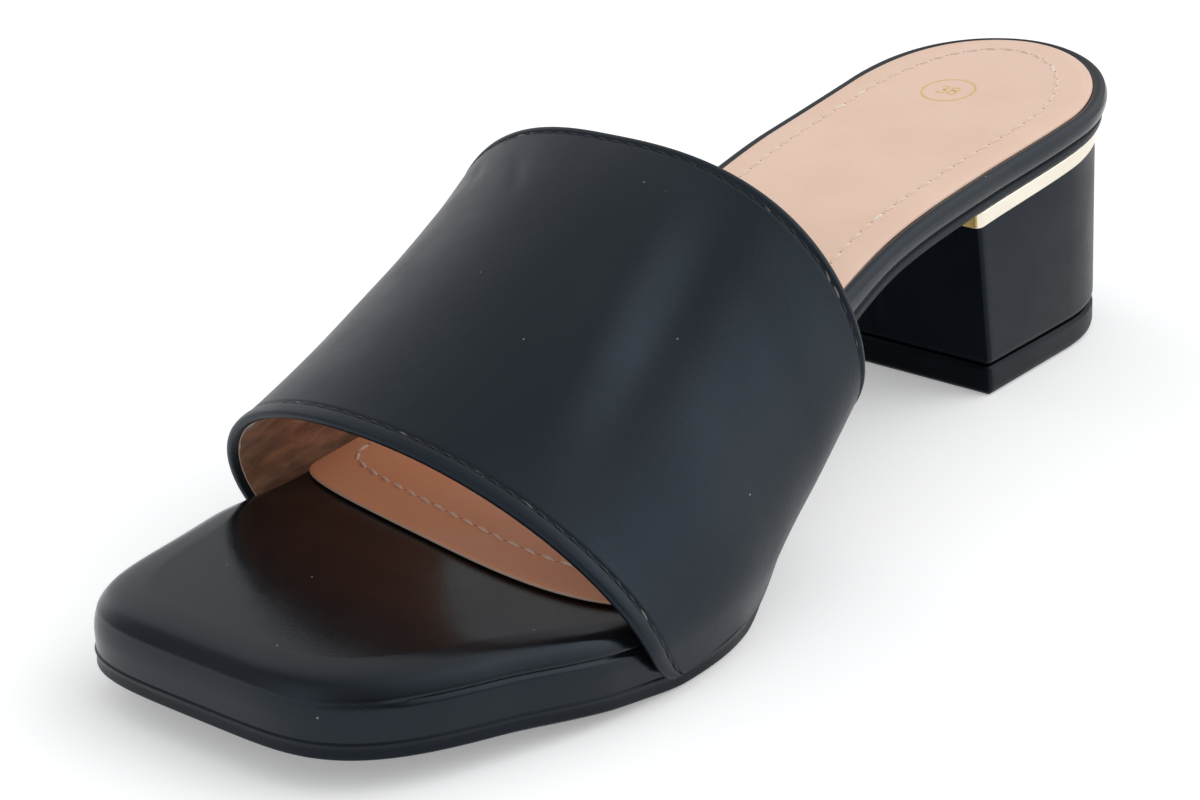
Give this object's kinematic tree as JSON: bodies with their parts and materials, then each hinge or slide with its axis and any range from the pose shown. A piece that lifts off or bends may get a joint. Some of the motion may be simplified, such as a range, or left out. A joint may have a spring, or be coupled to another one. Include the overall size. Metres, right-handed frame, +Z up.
{
  "type": "block heel sandal",
  "caption": "Open-toe slide sandal with a wide smooth strap, tan insole, wrapped platform, D-shaped block heel and thin gold trim",
  "frame": {"origin": "centre of the sandal's bounding box, at floor level", "axes": "+Z up from the floor; the heel is at +Y and the toe at -Y; the outer side of this left shoe is at +X"},
  "size_m": [0.0916, 0.2456, 0.0674],
  "materials": {
    "outsole_rubber": "satin black",
    "platform_wrap": "smooth black synthetic leather, half gloss",
    "insole_sock": "matte tan pink synthetic leather",
    "upper_leather": "satin black synthetic leather",
    "gold_trim": "pale polished gold",
    "heel_cover": "smooth black synthetic leather",
    "tip_rubber": "matte black"
  },
  "bodies": {
    "root": {"outsole": "outsole_rubber", "platform": "platform_wrap", "insole": "insole_sock", "upper": "upper_leather", "heel_band": "gold_trim", "heel_block": "heel_cover", "heel_tip": "tip_rubber"}
  },
  "joints": []
}
